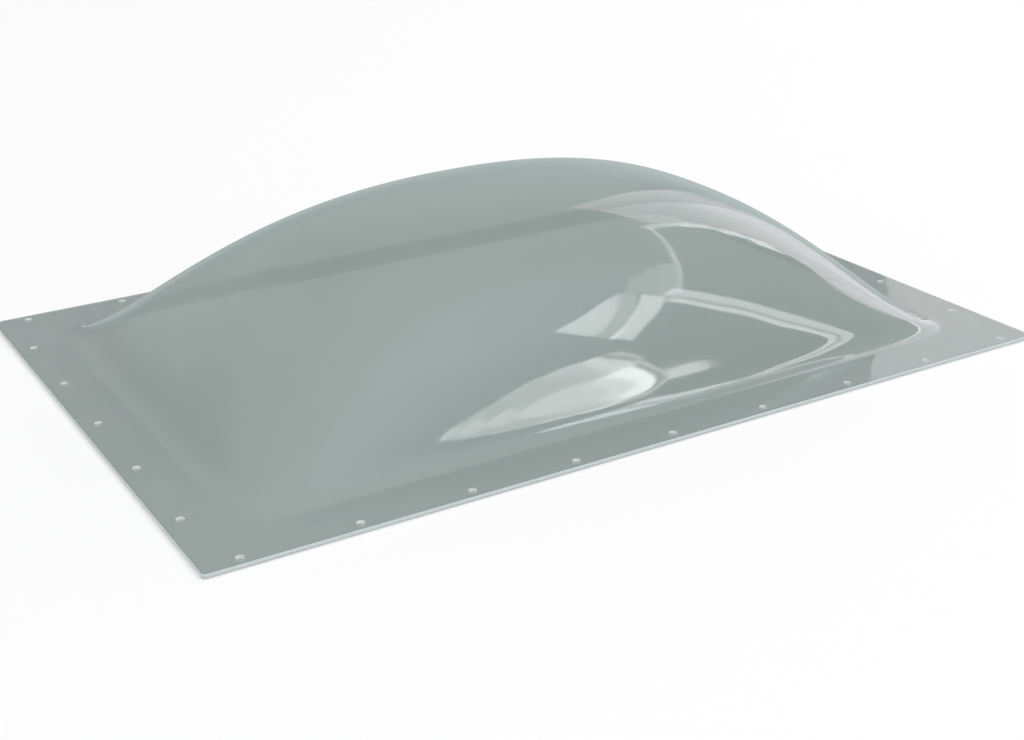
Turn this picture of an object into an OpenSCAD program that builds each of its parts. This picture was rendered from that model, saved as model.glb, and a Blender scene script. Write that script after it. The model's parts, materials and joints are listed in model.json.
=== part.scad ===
// Roof skylight dome: one sheet of clear tinted plastic, heated and blown into
// a low crown, with a flat drilled flange left all round. It lies as it is
// fitted, with the underside of the flange on Z = 0 and the crown up.

/* [Flange] */
// Length of the sheet, along X
flange_l = 660.4; // [560:0.1:800]
// Width of the sheet, along Y
flange_w = 457.2; // [380:0.1:560]
// Flat border, from the sheet's edge to the line where the dome leaves it
border_w = 44; // [36:0.5:70]
// Thickness of the sheet, as the flange still has it
sheet_t = 2.5; // [1.5:0.1:5]
// Radius that eases the four outer corners
corner_r = 3; // [1:0.5:12]

/* [Dome] */
// Rise of the crown above the top of the flange
rise = 120; // [60:0.5:160]
// Thickness of the wall at the crown, where the sheet has stretched most
crown_t = 1.8; // [1:0.1:4]
// Exponent of the superellipse whose top is the arch along X: 2 is a true ellipse
power_x = 2.27; // [2:0.01:3]
// Exponent of the superellipse whose top is the arch along Y
power_y = 2.5; // [2:0.01:3]
// How far past the line the arch along X would run on before it stood upright: less is steeper
run_x = 28.3; // [16:0.1:160]
// How far past the line the arch along Y would run on before it stood upright
run_y = 68.3; // [16:0.1:160]
// Reach of the rounded foot, out from the line where the dome leaves the flange
foot_reach = 8; // [4:0.5:14]
// Steps of the dome's surface along X
steps_x = 48; // [24:2:60]
// Steps of the dome's surface along Y
steps_y = 32; // [16:2:40]

/* [Screw holes] */
// Diameter of the holes
hole_d = 4.8; // [3:0.1:7]
// Holes in the row beside each long edge
long_holes = 9; // [2:1:15]
// Holes in the row beside each short edge
short_holes = 5; // [2:1:9]
// From a long edge to the centres of its row
long_row_inset = 8; // [6:0.5:16]
// From a short edge to the centres of its row
short_row_inset = 12.5; // [6:0.5:16]
// From a short edge to the first hole of a long row
long_row_end = 25.4; // [15:0.1:60]
// From a long edge to the first hole of a short row
short_row_end = 69.8; // [40:0.1:120]

/* [Hidden] */
// Smoothness of corners and bores
$fn = 64;
// How far a drill runs past each face
drill_past = 1;
// Half sizes of the line where the dome leaves the flange
line_x = flange_l / 2 - border_w;
line_y = flange_w / 2 - border_w;
// Half sizes of the blown area, out to the end of the rounded foot
blown_x = line_x + foot_reach;
blown_y = line_y + foot_reach;
// Half spans of the four rows of holes, and their distances from the centre
long_row_half = flange_l / 2 - long_row_end;
short_row_half = flange_w / 2 - short_row_end;
long_row_y = flange_w / 2 - long_row_inset;
short_row_x = flange_l / 2 - short_row_inset;

// A span's arch is [line, power, cut]: the top of a superellipse, cut off by the flange
// at that share of its half width
arch_x = [line_x, power_x, line_x / (line_x + run_x)];
arch_y = [line_y, power_y, line_y / (line_y + run_y)];

// Height of the superellipse at a share of its half width, and how steeply it falls
function superellipse(share, power) = pow(1 - pow(share, power), 1 / power);
function superellipse_fall(share, power) =
    pow(share, power - 1) * pow(1 - pow(share, power), 1 / power - 1);

// Arch over a span: 1 at the middle, 0 on the line, negative beyond it
function arch(at, a) =
    let (line = a[0], power = a[1], cut = a[2], base = superellipse(cut, power))
    (superellipse(cut * abs(at) / line, power) - base) / (1 - base);
function arch_slope(at, a) =
    let (line = a[0], power = a[1], cut = a[2], base = superellipse(cut, power))
    -sign(at) * cut / line * superellipse_fall(cut * abs(at) / line, power) / (1 - base);

// Depth of the arch below the flange at the end of the foot
function foot_depth(a) =
    let (line = a[0])
    -arch(line + foot_reach, a);

// The arch with its corner at the flange rounded into a parabola
function profile(at, a) =
    let (height = arch(at, a), depth = foot_depth(a))
    height > depth ? height : pow(max(height + depth, 0), 2) / (4 * depth);
function profile_slope(at, a) =
    let (height = arch(at, a), depth = foot_depth(a))
    arch_slope(at, a) * (height > depth ? 1 : max(height + depth, 0) / (2 * depth));

// Share of the full rise at a point, which is one profile times the other
function lift(x, y) = profile(x, arch_x) * profile(y, arch_y);

// Upward normal of the outer surface
function outward(x, y) =
    let (slope_x = rise * profile_slope(x, arch_x) * profile(y, arch_y),
         slope_y = rise * profile(x, arch_x) * profile_slope(y, arch_y),
         normal = [-slope_x, -slope_y, 1])
    normal / norm(normal);

// The wall thins in step with the rise
function wall(x, y) = sheet_t + (crown_t - sheet_t) * lift(x, y);
function outer_point(x, y) = [x, y, sheet_t + rise * lift(x, y)];
function inner_point(x, y) = outer_point(x, y) - wall(x, y) * outward(x, y);

// Stations across a span, closer together towards the foot
function station(i, steps, half) = half * sin(180 * i / steps - 90);

// Number of a point of the grid, and the points round its rim in turn
function grid(i, j) = i * (steps_y + 1) + j;
function rim() = concat(
    [for (i = [0 : steps_x - 1]) grid(i, 0)],
    [for (j = [0 : steps_y - 1]) grid(steps_x, j)],
    [for (i = [steps_x : -1 : 1]) grid(i, steps_y)],
    [for (j = [steps_y : -1 : 1]) grid(0, j)]);

// Blown shell: outer skin, inner skin one wall inside it, and a vertical rim
module blown_shell() {
    stations = [for (i = [0 : steps_x], j = [0 : steps_y])
        [station(i, steps_x, blown_x), station(j, steps_y, blown_y)]];
    under = len(stations);
    edge = rim();
    cells = [for (i = [0 : steps_x - 1], j = [0 : steps_y - 1])
        [grid(i, j), grid(i + 1, j), grid(i + 1, j + 1), grid(i, j + 1)]];
    // Each cell is split along the diagonal that runs up towards the crown
    split = [for (c = cells)
        let (p = (stations[c[0]] + stations[c[2]]) / 2)
        each p.x * p.y > 0
            ? [[c[0], c[1], c[2]], [c[0], c[2], c[3]]]
            : [[c[0], c[1], c[3]], [c[1], c[2], c[3]]]];
    polyhedron(
        points = concat(
            [for (s = stations) outer_point(s.x, s.y)],
            [for (s = stations) inner_point(s.x, s.y)]),
        faces = concat(
            [for (t = split) [t[2], t[1], t[0]]],
            [for (t = split) [t[0] + under, t[1] + under, t[2] + under]],
            [for (n = [0 : len(edge) - 1])
                let (a = edge[n], b = edge[(n + 1) % len(edge)])
                [a, b, b + under, a + under]]));
}

// Sheet outline with eased corners
module sheet_outline() {
    corner_x = flange_l / 2 - corner_r;
    corner_y = flange_w / 2 - corner_r;
    square([flange_l, 2 * corner_y], center = true);
    square([2 * corner_x, flange_w], center = true);
    for (x = [-corner_x, corner_x], y = [-corner_y, corner_y])
        translate([x, y])
            circle(r = corner_r);
}

// Evenly spaced places over a span from -half to half
function row(count, half) = [for (i = [0 : count - 1]) half * (2 * i / (count - 1) - 1)];

module screw_hole(x, y) {
    translate([x, y, -drill_past])
        cylinder(d = hole_d, h = sheet_t + 2 * drill_past);
}

module screw_holes() {
    for (x = row(long_holes, long_row_half), side = [-1, 1])
        screw_hole(x, side * long_row_y);
    for (y = row(short_holes, short_row_half), side = [-1, 1])
        screw_hole(side * short_row_x, y);
}

// Flat flange round the blown area
module flange() {
    difference() {
        linear_extrude(sheet_t)
            difference() {
                sheet_outline();
                square([2 * blown_x, 2 * blown_y], center = true);
            }
        screw_holes();
    }
}

module skylight_dome() {
    color([0.62, 0.68, 0.66, 0.6])
        union() {
            flange();
            blown_shell();
        }
}

skylight_dome();
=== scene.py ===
"""Looks of the roof skylight dome: its sheet as one smooth shell of clear tinted plastic, and its studio.

Lengths are in metres and angles in degrees, unless a comment says otherwise.
"""
import json
import math

import bpy
import numpy as np
from mathutils import Matrix, Vector
from mathutils.geometry import delaunay_2d_cdt


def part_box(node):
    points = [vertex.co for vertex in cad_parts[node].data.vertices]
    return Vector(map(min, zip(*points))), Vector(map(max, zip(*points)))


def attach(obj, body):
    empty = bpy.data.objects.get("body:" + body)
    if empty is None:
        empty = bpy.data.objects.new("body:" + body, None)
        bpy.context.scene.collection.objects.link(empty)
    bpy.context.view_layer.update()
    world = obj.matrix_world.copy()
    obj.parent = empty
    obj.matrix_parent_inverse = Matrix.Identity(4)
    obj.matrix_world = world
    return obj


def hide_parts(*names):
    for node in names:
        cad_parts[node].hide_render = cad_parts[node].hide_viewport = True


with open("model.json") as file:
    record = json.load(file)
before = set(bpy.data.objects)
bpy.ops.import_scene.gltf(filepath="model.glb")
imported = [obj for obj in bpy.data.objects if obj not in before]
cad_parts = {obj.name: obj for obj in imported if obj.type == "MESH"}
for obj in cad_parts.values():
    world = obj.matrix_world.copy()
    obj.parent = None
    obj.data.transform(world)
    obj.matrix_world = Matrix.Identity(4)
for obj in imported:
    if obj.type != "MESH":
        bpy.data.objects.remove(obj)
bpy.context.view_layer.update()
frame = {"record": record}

# Sheet
MM_PER_M = 1000
NODE = "skylight_dome"
SHEET_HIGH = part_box(NODE)[1]
HALF_L = SHEET_HIGH.x
HALF_W = SHEET_HIGH.y
SHEET_T = 0.0025
BORDER = 0.044
CORNER_R = 0.003
EDGE_EASE = 0.0003

# Blown crown, as the solid has it: each pair is along X, then along Y
RISE = SHEET_HIGH.z - SHEET_T
CROWN_T = 0.0018
FOOT_REACH = 0.008
LINES = (HALF_L - BORDER, HALF_W - BORDER)
BLOWN_ENDS = tuple(line + FOOT_REACH for line in LINES)
POWERS = (2.27, 2.5)
RUNS = (0.0283, 0.0683)
CUTS = tuple(line / (line + run) for line, run in zip(LINES, RUNS))

# Fineness of the mesh
STEPS_X = 200
STEPS_Y = 140
EDGE_STEP = 0.008
CORNER_STEPS = 8
BORE_STEPS = 32
SHARP_ANGLE = 25
# Flat triangles: points this close are one, only faces within the outline are made, and a triangle whose
# middle is nearer to a bore's centre than this share of its radius is drilled away
MERGE_WITHIN = 1e-7
WITHIN_OUTLINE = 1
BORE_SHARE = 0.99

# Plastic
PLASTIC_IOR = 1.5
CLARITY = 0.72
SHEET_ROUGH = 0.025
SHEET_TINT = (0.535, 0.592, 0.570, 1)
CROWN_TINT = (0.508, 0.571, 0.546, 1)
PASSING_TINT = (0.60, 0.63, 0.62, 1)

# Marks in the sheet, as noise on its own coordinates
CLOUDS = {"scale": 9.0, "detail": 3.0}
SMEARS = {"scale": 22.0, "detail": 4.0, "roughness": 0.6, "stretch": (0.35, 1.0, 1.0)}
STREAKS = {"scale": 55.0, "detail": 3.0, "roughness": 0.6, "stretch": (0.04, 1.0, 1.0)}
DUST = {"scale": 900.0, "detail": 2.0, "roughness": 0.7}
# Noise below the first limit leaves no mark, and above the second a full one
SMEAR_LIMITS = (0.48, 0.78)
STREAK_LIMITS = (0.45, 0.75)
DUST_LIMITS = (0.62, 0.80)
# Tints of the marks, the share of each in the sheet's colour, and what they add to its roughness
CLOUD_TINT = (0.46, 0.555, 0.545, 1)
DUST_TINT = (0.80, 0.82, 0.81, 1)
CLOUD_SHARE = 0.16
SMEAR_SHARE = 0.05
STREAK_SHARE = 0.06
DUST_SHARE = 0.04
SMEAR_ROUGH = 0.05
DUST_ROUGH = 0.03

# Relief that bends what the sheet mirrors: waves, with a little of the streaks and of orange peel
WAVES = {"scale": 12.0, "detail": 1.0}
PEEL = {"scale": 260.0, "detail": 2.0}
RELIEF_DEPTH = 0.0007
STREAK_RELIEF = 0.04
PEEL_RELIEF = 0.002

# Painted sheen and painted rim shade, where the dome turns edge-on: tint, share, and the limits of the rise
# and of the turn between which each sets in
FACING_BLEND = 0.5
# The paler tint below is painted sheen on the edge-on dome, standing in for reflection there
PAINTED_SHEEN_TINT = (0.75, 0.83, 0.80, 1)
PAINTED_SHEEN_SHARE = 0.74
PAINTED_SHEEN_RISES = (0.0, 0.35)
PAINTED_SHEEN_TURNS = (0.44, 0.76)
# The darker tint below is painted shade over the edge-on rim, in place of its reflection
RIM_SHADE_TINT = (0.385, 0.450, 0.440, 1)
RIM_SHARE = 0.9
RIM_RISES = (0.0, 0.08)
RIM_TURNS = (0.65, 0.86)

# Sawn edge and drilled bores, frosted by the tool
TOOL_MARKS = {"scale": 700.0, "detail": 3.0, "roughness": 0.6, "stretch": (1.0, 1.0, 0.25)}
TOOL_ROUGH = 0.30
TOOL_ROUGH_SPREAD = 0.25
TOOL_RELIEF_DEPTH = 0.0001
TOOL_RELIEF_STRENGTH = 0.4
EDGE_CLARITY = 0.2
EDGE_DEEP = (0.60, 0.67, 0.67, 1)
EDGE_PALE = (0.82, 0.87, 0.87, 1)
BORE_DEEP = (0.84, 0.88, 0.87, 1)
BORE_PALE = (0.95, 0.96, 0.95, 1)

# Camera, as the photograph was taken, with its focal length in pixels
CAMERA_AT = Vector((-0.5661, -0.9628, 0.4472))
CAMERA_YAW = 30.83
CAMERA_PITCH = 23.24
CAMERA_ROLL = 0.75
FOCAL_PX = 1556.7
IMAGE_W_PX = 1024
SENSOR_MM = 36

# Studio
FLOOR_DROP = 0.0005
FLOOR_HALF = 30.0
FLOOR_COLOUR = (0.955, 0.940, 0.930, 1)
HORIZON_COLOUR = (0.30, 0.31, 0.31, 1)
ZENITH_COLOUR = (1.20, 1.21, 1.215, 1)
LAMP_FAR = 6.0
# Soft glows in the room: azimuth and elevation, cosines of the rim and of the full glow, colour
GLOWS = (
    ((156, 58), (0.88, 1.0), (0.42, 0.55, 0.61, 1)),
    ((-28, 26), (0.86, 0.99), (0.25, 0.26, 0.26, 1)),
)
WHITE = (1, 1, 1)
ROSE = (1, 0.88, 0.93)

# Lamps, as panels of upright walls that face the dome: name, the wall's azimuth, azimuths of the panel's
# sides, elevations of its foot and head at the wall's azimuth, then radiance and colour. A panel doesn't hide
# the ones behind it, so their light adds up where they overlap
LAMPS = (
    ("left_key", -97, (-120, -75), (30, 60), 0.85, WHITE),
    ("camera_key", -162, (-180, -145), (18, 45), 0.85, WHITE),
    ("right_near_1", 64, (47.6, 51.5), (15, 45), 0.80, ROSE),
    ("right_near_2", 64, (51.5, 53), (11, 45), 0.80, ROSE),
    ("right_near_3", 64, (53, 55), (7, 45), 0.80, ROSE),
    ("right_dim_1", 64, (47.6, 51.5), (-3, 15), 0.35, ROSE),
    ("right_dim_2", 64, (51.5, 53), (-3, 11), 0.35, ROSE),
    ("right_dim_3", 64, (53, 55), (-3, 7), 0.35, ROSE),
    ("right_far_1", 64, (55, 60), (3.5, 45), 1.40, ROSE),
    ("right_far_2", 64, (60, 63.5), (5, 45), 1.40, ROSE),
    ("right_far_3", 64, (63.5, 66), (7.5, 45), 1.40, ROSE),
    ("right_low", 64, (66, 74), (7.5, 28), 1.65, ROSE),
    ("right_mid_1", 64, (66, 72.6), (28, 31.5), 1.45, ROSE),
    ("right_mid_2", 64, (66, 71.2), (31.5, 36), 1.40, ROSE),
    ("right_mid_3", 64, (66, 69.6), (36, 45), 1.45, ROSE),
    ("right_edge_1", 64, (72.6, 76.4), (28, 31.5), 3.4, WHITE),
    ("right_edge_2", 64, (71.2, 74.4), (31.5, 36), 3.4, WHITE),
    ("right_edge_3", 64, (69.6, 72.9), (36, 42), 3.0, WHITE),
    ("right_edge_4", 64, (69.6, 72.4), (42, 44), 2.4, WHITE),
    ("right_edge_5", 64, (70.4, 73.4), (44, 46.2), 2.1, WHITE),
    ("right_edge_6", 64, (71.8, 74.8), (46.2, 48), 2.0, WHITE),
    ("right_foot", 64, (74, 80), (7.5, 27.5), 1.95, ROSE),
    ("right_corner_1", 64, (80, 83), (7.5, 28.1), 2.1, ROSE),
    ("right_corner_2", 64, (83, 85.5), (7.5, 29.2), 2.1, ROSE),
    ("right_corner_3", 64, (85.5, 90), (7.5, 30.7), 2.1, ROSE),
    ("high_line_far", 95, (73, 96), (48.5, 49.0), 2.6, WHITE),
    ("high_line_near", 88, (96, 121), (48.8, 49.4), 2.4, WHITE),
    ("bar_wide", 115, (119.5, 122.9), (29, 45.2), 3.6, WHITE),
    ("bar_gap", 115, (122.9, 124.0), (29, 45.2), 1.5, WHITE),
    ("bar_thin", 115, (124.0, 125.8), (29, 43.8), 4.5, WHITE),
    ("high_dim_1", 88, (105, 123.5), (49.4, 51.0), 1.4, WHITE),
    ("high_dim_2", 88, (108.5, 123.5), (51.0, 52.7), 1.3, WHITE),
    ("high_dim_3", 88, (113, 124), (52.7, 54.6), 1.1, WHITE),
    ("high_middle", 82, (124, 138.2), (55.4, 57.4), 2.0, WHITE),
    ("high_foot", 86, (124, 138.2), (50.9, 53.4), 4.7, WHITE),
    ("low_edge_head", 148, (141.0, 141.6), (32, 36), 3.4, WHITE),
    ("low_edge_foot", 148, (141.5, 142.1), (27, 32), 3.8, WHITE),
    ("low_corner", 148, (139.6, 141.8), (24, 27), 5.2, WHITE),
    ("low_head_1", 148, (142.2, 144), (31, 36.2), 6.0, WHITE),
    ("low_head_2", 148, (144, 146), (30.5, 36.8), 3.7, WHITE),
    ("low_head_3", 148, (146, 150.2), (31.2, 37.3), 2.9, WHITE),
    ("low_head_4", 148, (150.2, 152.2), (33.6, 37.4), 2.5, WHITE),
    ("low_head_5", 148, (152.2, 153.5), (35.8, 37.3), 2.5, WHITE),
    ("low_foot_1", 148, (142.8, 144.5), (24, 31), 10.8, WHITE),
    ("low_foot_2", 148, (144.5, 146), (24, 30.5), 6.8, WHITE),
    ("low_foot_3", 148, (146, 150.2), (24, 31.2), 5.3, WHITE),
    ("low_foot_4", 148, (150.2, 152.2), (24, 33.6), 4.7, WHITE),
    ("low_foot_5", 148, (152.2, 153.5), (24, 35.8), 4.4, WHITE),
    ("low_foot_6", 148, (153.5, 154.7), (24, 37.8), 4.2, WHITE),
)
# One more high panel widens from a point, so it is made of strips side by side, whose feet drop in even steps
STRIPS = 8
STRIP_WALL = 110
STRIP_START = 124.4
STRIP_W = 1.75
STRIP_HEAD = 50.2
STRIP_FOOT = 49.9
STRIP_DROP = 0.68
STRIP_RADIANCE = 4.4
LAMPS += tuple(
    (
        f"high_head_{k + 1}",
        STRIP_WALL,
        (STRIP_START + STRIP_W * k, STRIP_START + STRIP_W * (k + 1)),
        (STRIP_FOOT - STRIP_DROP * k, STRIP_HEAD),
        STRIP_RADIANCE,
        WHITE,
    )
    for k in range(STRIPS)
)


def superellipse(share, power):
    """Height of a unit superellipse at a share of its half width.

    It is the root, of the order of the power, of 1 less the share to that power.
    """
    return (1 - share**power) ** (1 / power)


def superellipse_fall(share, power):
    """How steeply that superellipse falls there: share over height, to the power less 1."""
    return share ** (power - 1) * (1 - share**power) ** (1 / power - 1)


def arch(at, line, power, cut):
    """Top of a superellipse that the flange cuts off: 1 at the middle, 0 on the line, negative beyond it.

    It is the height less the height at the cut, over 1 less the height at the cut.
    """
    base = superellipse(cut, power)
    return (superellipse(cut * np.abs(at) / line, power) - base) / (1 - base)


def profile(at, line, power, cut):
    """Height and slope of the arch once its corner at the flange is rounded into a parabola.

    The arch is some depth below the flange at the end of the foot. Up to that depth above the flange, the
    height is the square of arch plus depth, over four times the depth, and above that it is the arch.
    """
    depth = -arch(line + FOOT_REACH, line, power, cut)
    height = arch(at, line, power, cut)
    base = superellipse(cut, power)
    slope = -np.sign(at) * cut / line * superellipse_fall(cut * np.abs(at) / line, power) / (1 - base)
    foot = np.maximum(height + depth, 0)
    rounded = height <= depth
    return (
        np.where(rounded, foot**2 / (4 * depth), height),
        np.where(rounded, foot / (2 * depth), 1) * slope,
    )


def blown_skins():
    """Outer and inner skin of the blown area, on a grid of stations that close up towards the foot.

    The outer skin stands above the flange by the rise times the profile along X times the one along Y.
    The inner skin lies one wall inside it along the normal, and the wall thins in step with the rise.
    """
    x = BLOWN_ENDS[0] * np.sin(np.linspace(-1, 1, STEPS_X + 1) * math.pi / 2)
    y = BLOWN_ENDS[1] * np.sin(np.linspace(-1, 1, STEPS_Y + 1) * math.pi / 2)
    (along, along_slope), (across, across_slope) = (
        profile(at, line, power, cut) for at, line, power, cut in zip((x, y), LINES, POWERS, CUTS)
    )
    lift = np.outer(along, across)
    outer = np.empty((STEPS_X + 1, STEPS_Y + 1, 3))
    outer[..., 0] = x[:, None]
    outer[..., 1] = y[None, :]
    outer[..., 2] = SHEET_T + RISE * lift
    normal = np.ones_like(outer)
    normal[..., 0] = -RISE * np.outer(along_slope, across)
    normal[..., 1] = -RISE * np.outer(along, across_slope)
    normal /= np.linalg.norm(normal, axis=-1, keepdims=True)
    wall = SHEET_T + (CROWN_T - SHEET_T) * lift
    return outer, outer - wall[..., None] * normal


def sheet_outline(inset):
    """Outline of the sheet, counter-clockwise: a quarter arc at each corner, then a side in even steps."""
    half = np.array([HALF_L, HALF_W]) - CORNER_R
    radius = CORNER_R - inset
    turns = np.linspace(0, math.pi / 2, CORNER_STEPS + 1)
    sides = []
    for quarter in range(4):
        angle = turns + quarter * math.pi / 2
        signs = np.sign([math.cos(angle.mean()), math.sin(angle.mean())])
        arc = half * signs + radius * np.stack([np.cos(angle), np.sin(angle)], axis=1)
        span = 2 * half[quarter % 2]
        step = np.array([-math.sin(angle[-1]), math.cos(angle[-1])])
        count = int(span // EDGE_STEP)
        along = np.linspace(0, span, count + 2)[1:-1, None]
        sides += [arc, arc[-1] + along * step]
    return np.concatenate(sides)


def screw_places():
    """Centres of the screw holes and their radius, from the bolt patterns that the record states.

    A pattern's holes lie half its spacing to both sides of its middle, along X and along Y.
    """
    places = []
    for mount in frame["record"]["mounts"]:
        if mount["kind"] == "bolt_pattern":
            dims = mount["dims"]
            radius = dims["hole_r_mm"] / MM_PER_M
            half_x = dims.get("spacing_x_mm", 0) / (2 * MM_PER_M)
            half_y = dims.get("spacing_y_mm", 0) / (2 * MM_PER_M)
            corners = {(sx * half_x, sy * half_y) for sx in (-1, 1) for sy in (-1, 1)}
            places += [np.add(mount["pos_m"][:2], corner) for corner in sorted(corners)]
    return np.array(places), radius


def bore_rings(centres, radius):
    """One ring of points round every screw hole, clockwise, so that its wall faces inwards."""
    angle = -np.arange(BORE_STEPS) / BORE_STEPS * 2 * math.pi
    circle = radius * np.stack([np.cos(angle), np.sin(angle)], axis=1)
    return centres[:, None, :] + circle[None, :, :]


def grid_quads(columns, rows):
    """Faces of a grid of points that is columns by rows, counter-clockwise seen from above."""
    number = np.arange(columns * rows).reshape(columns, rows)
    quads = number[:-1, :-1], number[1:, :-1], number[1:, 1:], number[:-1, 1:]
    return np.stack(quads, axis=-1).reshape(-1, 4)


def loop_quads(lower, upper):
    """Wall between two closed loops of point numbers, facing right as the loops run."""
    wall = lower, np.roll(lower, -1, -1), np.roll(upper, -1, -1), upper
    return np.stack(wall, axis=-1).reshape(-1, 4)


def rim_loop():
    """Numbers of the blown grid's rim points, counter-clockwise."""
    number = np.arange((STEPS_X + 1) * (STEPS_Y + 1)).reshape(STEPS_X + 1, STEPS_Y + 1)
    return np.concatenate([number[:-1, 0], number[-1, :-1], number[:0:-1, -1], number[0, :0:-1]])


def closed_edges(first, count):
    """Edges of a closed loop of points that are numbered one after another."""
    loop = first + np.arange(count)
    return np.stack([loop, np.roll(loop, -1)], axis=-1)


def flange_triangles(rim, outline, bores, centres, bore_radius):
    """Flat triangles between the sheet's outline, the rim of the blown area and the screw holes.

    All of the outline is filled, and the triangles whose middle is in the blown area or in a bore are dropped.
    """
    flat = np.concatenate([rim, outline, bores.reshape(-1, 2)])
    edges = [closed_edges(0, len(rim)), closed_edges(len(rim), len(outline))]
    start = len(rim) + len(outline)
    edges += [closed_edges(start + hole * BORE_STEPS, BORE_STEPS) for hole in range(len(bores))]
    _, _, faces, origins, _, _ = delaunay_2d_cdt(
        [Vector(p) for p in flat], np.concatenate(edges).tolist(), [], WITHIN_OUTLINE, MERGE_WITHIN
    )
    triangles = np.array([origins[corner][0] for face in faces for corner in face]).reshape(-1, 3)
    middle = flat[triangles].mean(axis=1)
    blown = (np.abs(middle) < BLOWN_ENDS).all(axis=1)
    nearest = np.linalg.norm(middle[:, None] - centres[None], axis=-1).min(axis=1)
    return triangles[~(blown | (nearest < bore_radius * BORE_SHARE))]


def at_height(flat, z):
    """Flat points lifted to one height."""
    points = flat.reshape(-1, 2)
    return np.column_stack([points, np.full(len(points), z)])


def make_sheet():
    """The whole sheet as one closed shell: both blown skins, both flange faces, and the eased cut edges.

    Returns the object. Its faces carry slot 0 on the skins and the flange, slot 1 on the sawn edge and slot 2
    in the bores.
    """
    outer, inner = blown_skins()
    centres, bore_radius = screw_places()
    grid_size = outer.shape[0] * outer.shape[1]
    rim = rim_loop()
    eased_outline = sheet_outline(EDGE_EASE)
    eased_bores = bore_rings(centres, bore_radius + EDGE_EASE)
    full_outline = sheet_outline(0)
    full_bores = bore_rings(centres, bore_radius)
    rim_flat = outer.reshape(-1, 3)[rim, :2]
    triangles = flange_triangles(rim_flat, eased_outline, eased_bores, centres, bore_radius + EDGE_EASE)

    # Levels of the cut edges, from the top face down to the underside
    levels = [
        (eased_outline, eased_bores, SHEET_T),
        (full_outline, full_bores, SHEET_T - EDGE_EASE),
        (full_outline, full_bores, EDGE_EASE),
        (eased_outline, eased_bores, 0.0),
    ]
    points = [outer.reshape(-1, 3), inner.reshape(-1, 3)]
    loops = []
    first = 2 * grid_size
    for outline, bores, z in levels:
        points += [at_height(outline, z), at_height(bores, z)]
        outline_loop = first + np.arange(len(outline))
        bore_loops = outline_loop[-1] + 1 + np.arange(bores.shape[0] * BORE_STEPS).reshape(-1, BORE_STEPS)
        loops.append((outline_loop, bore_loops))
        first = bore_loops[-1, -1] + 1

    top_numbers = np.concatenate([rim, loops[0][0], loops[0][1].ravel()])
    under_numbers = np.concatenate([rim + grid_size, loops[-1][0], loops[-1][1].ravel()])
    cells = grid_quads(STEPS_X + 1, STEPS_Y + 1)
    skins = [cells, cells[:, ::-1] + grid_size]
    flats = [top_numbers[triangles], under_numbers[triangles][:, ::-1]]
    pairs = list(zip(loops[:-1], loops[1:]))
    sawn = [loop_quads(lower[0], upper[0]) for upper, lower in pairs]
    drilled = [loop_quads(lower[1], upper[1]) for upper, lower in pairs]

    groups = (skins + flats, sawn, drilled)
    faces = [face for group in groups for part in group for face in part.tolist()]
    slots = np.repeat(np.arange(3, dtype=np.int32), [sum(map(len, group)) for group in groups])
    mesh = bpy.data.meshes.new("blown_sheet")
    mesh.from_pydata(np.concatenate(points).tolist(), [], faces)
    mesh.polygons.foreach_set("material_index", slots)
    mesh.polygons.foreach_set("use_smooth", np.ones(len(faces), bool))
    mesh.set_sharp_from_angle(angle=math.radians(SHARP_ANGLE))
    mesh.validate()
    sheet = bpy.data.objects.new("blown_sheet", mesh)
    bpy.context.scene.collection.objects.link(sheet)
    return sheet


class Wire:
    """An output of a shader node that takes part in Python sums: each operator adds a Math node."""

    def __init__(self, tree, output):
        self.tree = tree
        self.output = output

    def node(self, kind, inputs=None, settings=None, output=0):
        """Adds a node of any type, sets it up, fills or links its inputs, and gives one output as a Wire."""
        made = self.tree.nodes.new(kind)
        for name, value in (settings or {}).items():
            setattr(made, name, value)
        for name, value in (inputs or {}).items():
            if isinstance(value, Wire):
                self.tree.links.new(value.output, made.inputs[name])
            else:
                made.inputs[name].default_value = value
        return Wire(self.tree, made.outputs[output])

    def math(self, operation, first, second):
        """Adds a Math node for two values, of which either may be a plain number."""
        return self.node("ShaderNodeMath", {0: first, 1: second}, {"operation": operation})

    def __add__(self, other):
        return self.math("ADD", self, other)

    def __radd__(self, other):
        return self.math("ADD", other, self)

    def __sub__(self, other):
        return self.math("SUBTRACT", self, other)

    def __rsub__(self, other):
        return self.math("SUBTRACT", other, self)

    def __mul__(self, other):
        return self.math("MULTIPLY", self, other)

    def __rmul__(self, other):
        return self.math("MULTIPLY", other, self)

    def __truediv__(self, other):
        return self.math("DIVIDE", self, other)

    def __rtruediv__(self, other):
        return self.math("DIVIDE", other, self)

    def most(self, other):
        """The larger of two values."""
        return self.math("MAXIMUM", self, other)

    def step(self, low, high):
        """0 below low, 1 above high, and smooth between."""
        return self.node(
            "ShaderNodeMapRange",
            {"Value": self, "From Min": low, "From Max": high, "To Min": 0.0, "To Max": 1.0},
            {"interpolation_type": "SMOOTHSTEP"},
        )

    def blend(self, first, second):
        """Mix of two colours by this value."""
        return self.node(
            "ShaderNodeMix", {"Factor": self, 6: first, 7: second}, {"data_type": "RGBA"}, output=2
        )


def new_material(name):
    """An empty node material: its tree's start Wire on Object coordinates, and its output's surface socket."""
    material = bpy.data.materials.new(name)
    material.use_nodes = True
    tree = material.node_tree
    tree.nodes.clear()
    place = Wire(tree, tree.nodes.new("ShaderNodeTexCoord").outputs["Object"])
    surface = tree.nodes.new("ShaderNodeOutputMaterial").inputs["Surface"]
    return material, place, surface


def noise(place, scale, detail, roughness=0.5, stretch=None):
    """Noise from 0 to 1 on the object's own coordinates, drawn out along an axis where stretch says so."""
    if stretch is not None:
        place = place.node("ShaderNodeVectorMath", {0: place, 1: stretch}, {"operation": "MULTIPLY"})
    inputs = {"Vector": place, "Scale": scale, "Detail": detail, "Roughness": roughness}
    return place.node("ShaderNodeTexNoise", inputs)


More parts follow.
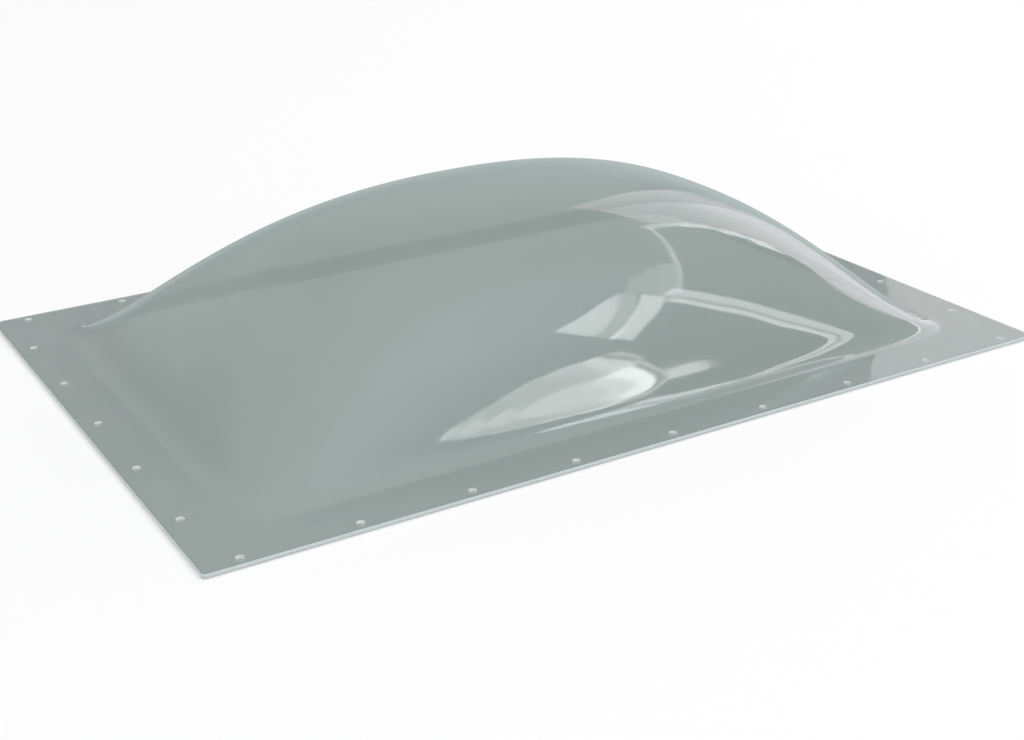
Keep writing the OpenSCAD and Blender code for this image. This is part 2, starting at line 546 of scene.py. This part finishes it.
def clear_sheet():
    """Clear plastic with a grey-green tint that deepens a little from the flange up to the crown.

    Clouds blend a share of a deeper tint into it, and smears, streaks along the sheet and fine dust each a
    share of a pale one. Smears and dust also add to its roughness. Waves, with a little of the streaks and of
    orange peel, bend what it mirrors. Where the dome turns edge-on, a paler tint is painted in as sheen, and
    a darker matt diffuse is then painted over the rim as shade. Light on its way to the floor passes straight
    through.
    """
    material, place, surface = new_material("clear_sheet")
    height = place.node("ShaderNodeSeparateXYZ", {"Vector": place}, output="Z")
    raised = (height - SHEET_T) / RISE
    turned = place.node("ShaderNodeLayerWeight", {"Blend": FACING_BLEND}, output="Facing")
    smears = noise(place, **SMEARS).step(*SMEAR_LIMITS)
    dust = noise(place, **DUST).step(*DUST_LIMITS)
    streaks = noise(place, **STREAKS)
    # Painted sheen: a paler tint blended into the colour where the raised dome turns edge-on
    painted_sheen = PAINTED_SHEEN_SHARE * raised.step(*PAINTED_SHEEN_RISES) * turned.step(*PAINTED_SHEEN_TURNS)
    tint = painted_sheen.blend(raised.blend(SHEET_TINT, CROWN_TINT), PAINTED_SHEEN_TINT)
    tint = (CLOUD_SHARE * noise(place, **CLOUDS)).blend(tint, CLOUD_TINT)
    marks = SMEAR_SHARE * smears + STREAK_SHARE * streaks.step(*STREAK_LIMITS) + DUST_SHARE * dust
    bumps = noise(place, **WAVES) + STREAK_RELIEF * streaks + PEEL_RELIEF * noise(place, **PEEL)
    relief = {"Strength": 1.0, "Distance": RELIEF_DEPTH, "Height": bumps}
    plastic = place.node(
        "ShaderNodeBsdfPrincipled",
        {
            "Base Color": marks.blend(tint, DUST_TINT),
            "Roughness": SHEET_ROUGH + SMEAR_ROUGH * smears + DUST_ROUGH * dust,
            "IOR": PLASTIC_IOR,
            "Transmission Weight": CLARITY,
            "Normal": place.node("ShaderNodeBump", relief),
        },
    )
    # Painted rim shade: a darker matt diffuse mixed over the plastic where the raised dome turns edge-on
    rim = RIM_SHARE * (raised.step(*RIM_RISES) * turned.step(*RIM_TURNS))
    painted_rim_shade = place.node("ShaderNodeBsdfDiffuse", {"Color": RIM_SHADE_TINT})
    rimmed = place.node("ShaderNodeMixShader", {0: rim, 1: plastic, 2: painted_rim_shade})
    passing = place.node("ShaderNodeBsdfTransparent", {"Color": PASSING_TINT})
    shadow_ray = place.node("ShaderNodeLightPath", output="Is Shadow Ray")
    diffuse_ray = place.node("ShaderNodeLightPath", output="Is Diffuse Ray")
    shown = place.node("ShaderNodeMixShader", {0: shadow_ray.most(diffuse_ray), 1: rimmed, 2: passing})
    place.tree.links.new(shown.output, surface)
    return material


def tooled_edge(name, deep, pale):
    """The sheet where it is sawn or drilled: the same plastic, frosted by the tool and so paler.

    The tool's marks blend a deep and a pale tint, and raise the roughness and the relief in step.
    """
    material, place, surface = new_material(name)
    marks = noise(place, **TOOL_MARKS)
    relief = {"Strength": TOOL_RELIEF_STRENGTH, "Distance": TOOL_RELIEF_DEPTH, "Height": marks}
    frosted = place.node(
        "ShaderNodeBsdfPrincipled",
        {
            "Base Color": marks.blend(deep, pale),
            "Roughness": TOOL_ROUGH + TOOL_ROUGH_SPREAD * marks,
            "IOR": PLASTIC_IOR,
            "Transmission Weight": EDGE_CLARITY,
            "Normal": place.node("ShaderNodeBump", relief),
        },
    )
    place.tree.links.new(frosted.output, surface)
    return material


def compass(azimuth, elevation):
    """Unit vector towards a place in the room: azimuth in degrees from +Y towards +X, and elevation."""
    a = math.radians(azimuth)
    e = math.radians(elevation)
    return Vector((math.sin(a) * math.cos(e), math.cos(a) * math.cos(e), math.sin(e)))


def panel(name, facing, sides, ends, radiance, colour):
    """A rectangular lamp in an upright wall that faces the dome, with its sides and ends as seen from there.

    Each lies off the wall's middle by the wall's distance times the tangent of its angle. The lamp's power is
    its radiance times pi times its area.
    """
    across = [LAMP_FAR * math.tan(math.radians(side - facing)) for side in sides]
    above = [LAMP_FAR * math.tan(math.radians(end)) for end in ends]
    out = compass(facing, 0)
    right = compass(facing + 90, 0)
    middle = LAMP_FAR * out + sum(across) / 2 * right + Vector((0, 0, sum(above) / 2))
    lamp = bpy.data.lights.new(name, "AREA")
    lamp.shape = "RECTANGLE"
    lamp.size = across[1] - across[0]
    lamp.size_y = above[1] - above[0]
    lamp.energy = radiance * math.pi * lamp.size * lamp.size_y
    lamp.color = colour
    box = bpy.data.objects.new(name, lamp)
    turn = Matrix((right, out.cross(right), out)).transposed()
    box.matrix_world = Matrix.Translation(middle) @ turn.to_4x4()
    box.visible_camera = False
    bpy.context.scene.collection.objects.link(box)


def make_studio():
    """Pale floor, a grey room and the lamps that the dome mirrors.

    The room goes from the horizon's colour to the zenith's with the square of the height, and soft glows are
    added to it, each by the cosine of the angle from its middle.
    """
    mesh = bpy.data.meshes.new("floor")
    corners = np.array([(-1, -1), (1, -1), (1, 1), (-1, 1)]) * FLOOR_HALF
    mesh.from_pydata(at_height(corners, -FLOOR_DROP).tolist(), [], [(0, 1, 2, 3)])
    floor = bpy.data.objects.new("floor", mesh)
    bpy.context.scene.collection.objects.link(floor)
    material = bpy.data.materials.new("floor")
    material.use_nodes = True
    paint = material.node_tree.nodes["Principled BSDF"].inputs
    paint["Base Color"].default_value = FLOOR_COLOUR
    paint["Roughness"].default_value = 1.0
    paint["Specular IOR Level"].default_value = 0.0
    mesh.materials.append(material)

    world = bpy.data.worlds.new("room")
    world.use_nodes = True
    tree = world.node_tree
    outward = Wire(tree, tree.nodes.new("ShaderNodeTexCoord").outputs["Generated"])
    height = outward.node("ShaderNodeSeparateXYZ", {"Vector": outward}, output="Z").most(0.0)
    air = (height * height).blend(HORIZON_COLOUR, ZENITH_COLOUR)
    for place, cosines, colour in GLOWS:
        along = {0: outward, 1: compass(*place)}
        near = outward.node("ShaderNodeVectorMath", along, {"operation": "DOT_PRODUCT"}, output="Value")
        more = {"Factor": near.step(*cosines), 6: air, 7: colour}
        air = outward.node("ShaderNodeMix", more, {"data_type": "RGBA", "blend_type": "ADD"}, output=2)
    tree.links.new(air.output, tree.nodes["Background"].inputs["Color"])
    bpy.context.scene.world = world

    for lamp in LAMPS:
        panel(*lamp)


def make_camera():
    """Camera at the photograph's place and angle, with its focal length.

    It looks along the yaw and down by the pitch, and the roll turns it about that line.
    """
    yaw, pitch, roll = (math.radians(v) for v in (CAMERA_YAW, CAMERA_PITCH, CAMERA_ROLL))
    ahead = Vector((math.sin(yaw) * math.cos(pitch), math.cos(yaw) * math.cos(pitch), -math.sin(pitch)))
    level = Vector((math.cos(yaw), -math.sin(yaw), 0))
    down = ahead.cross(level)
    right = math.cos(roll) * level + math.sin(roll) * down
    below = -math.sin(roll) * level + math.cos(roll) * down
    turn = Matrix((right, -below, -ahead)).transposed()
    data = bpy.data.cameras.new("camera")
    data.sensor_width = SENSOR_MM
    data.lens = FOCAL_PX / IMAGE_W_PX * SENSOR_MM
    camera = bpy.data.objects.new("camera", data)
    camera.matrix_world = Matrix.Translation(CAMERA_AT) @ turn.to_4x4()
    bpy.context.scene.collection.objects.link(camera)
    bpy.context.scene.camera = camera


make_camera()
make_studio()
sheet = make_sheet()
sheet.data.materials.append(clear_sheet())
sheet.data.materials.append(tooled_edge("sawn_edge", EDGE_DEEP, EDGE_PALE))
sheet.data.materials.append(tooled_edge("drilled_bore", BORE_DEEP, BORE_PALE))
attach(sheet, "root")
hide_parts(NODE)

bpy.context.scene.view_settings.view_transform = "Standard"
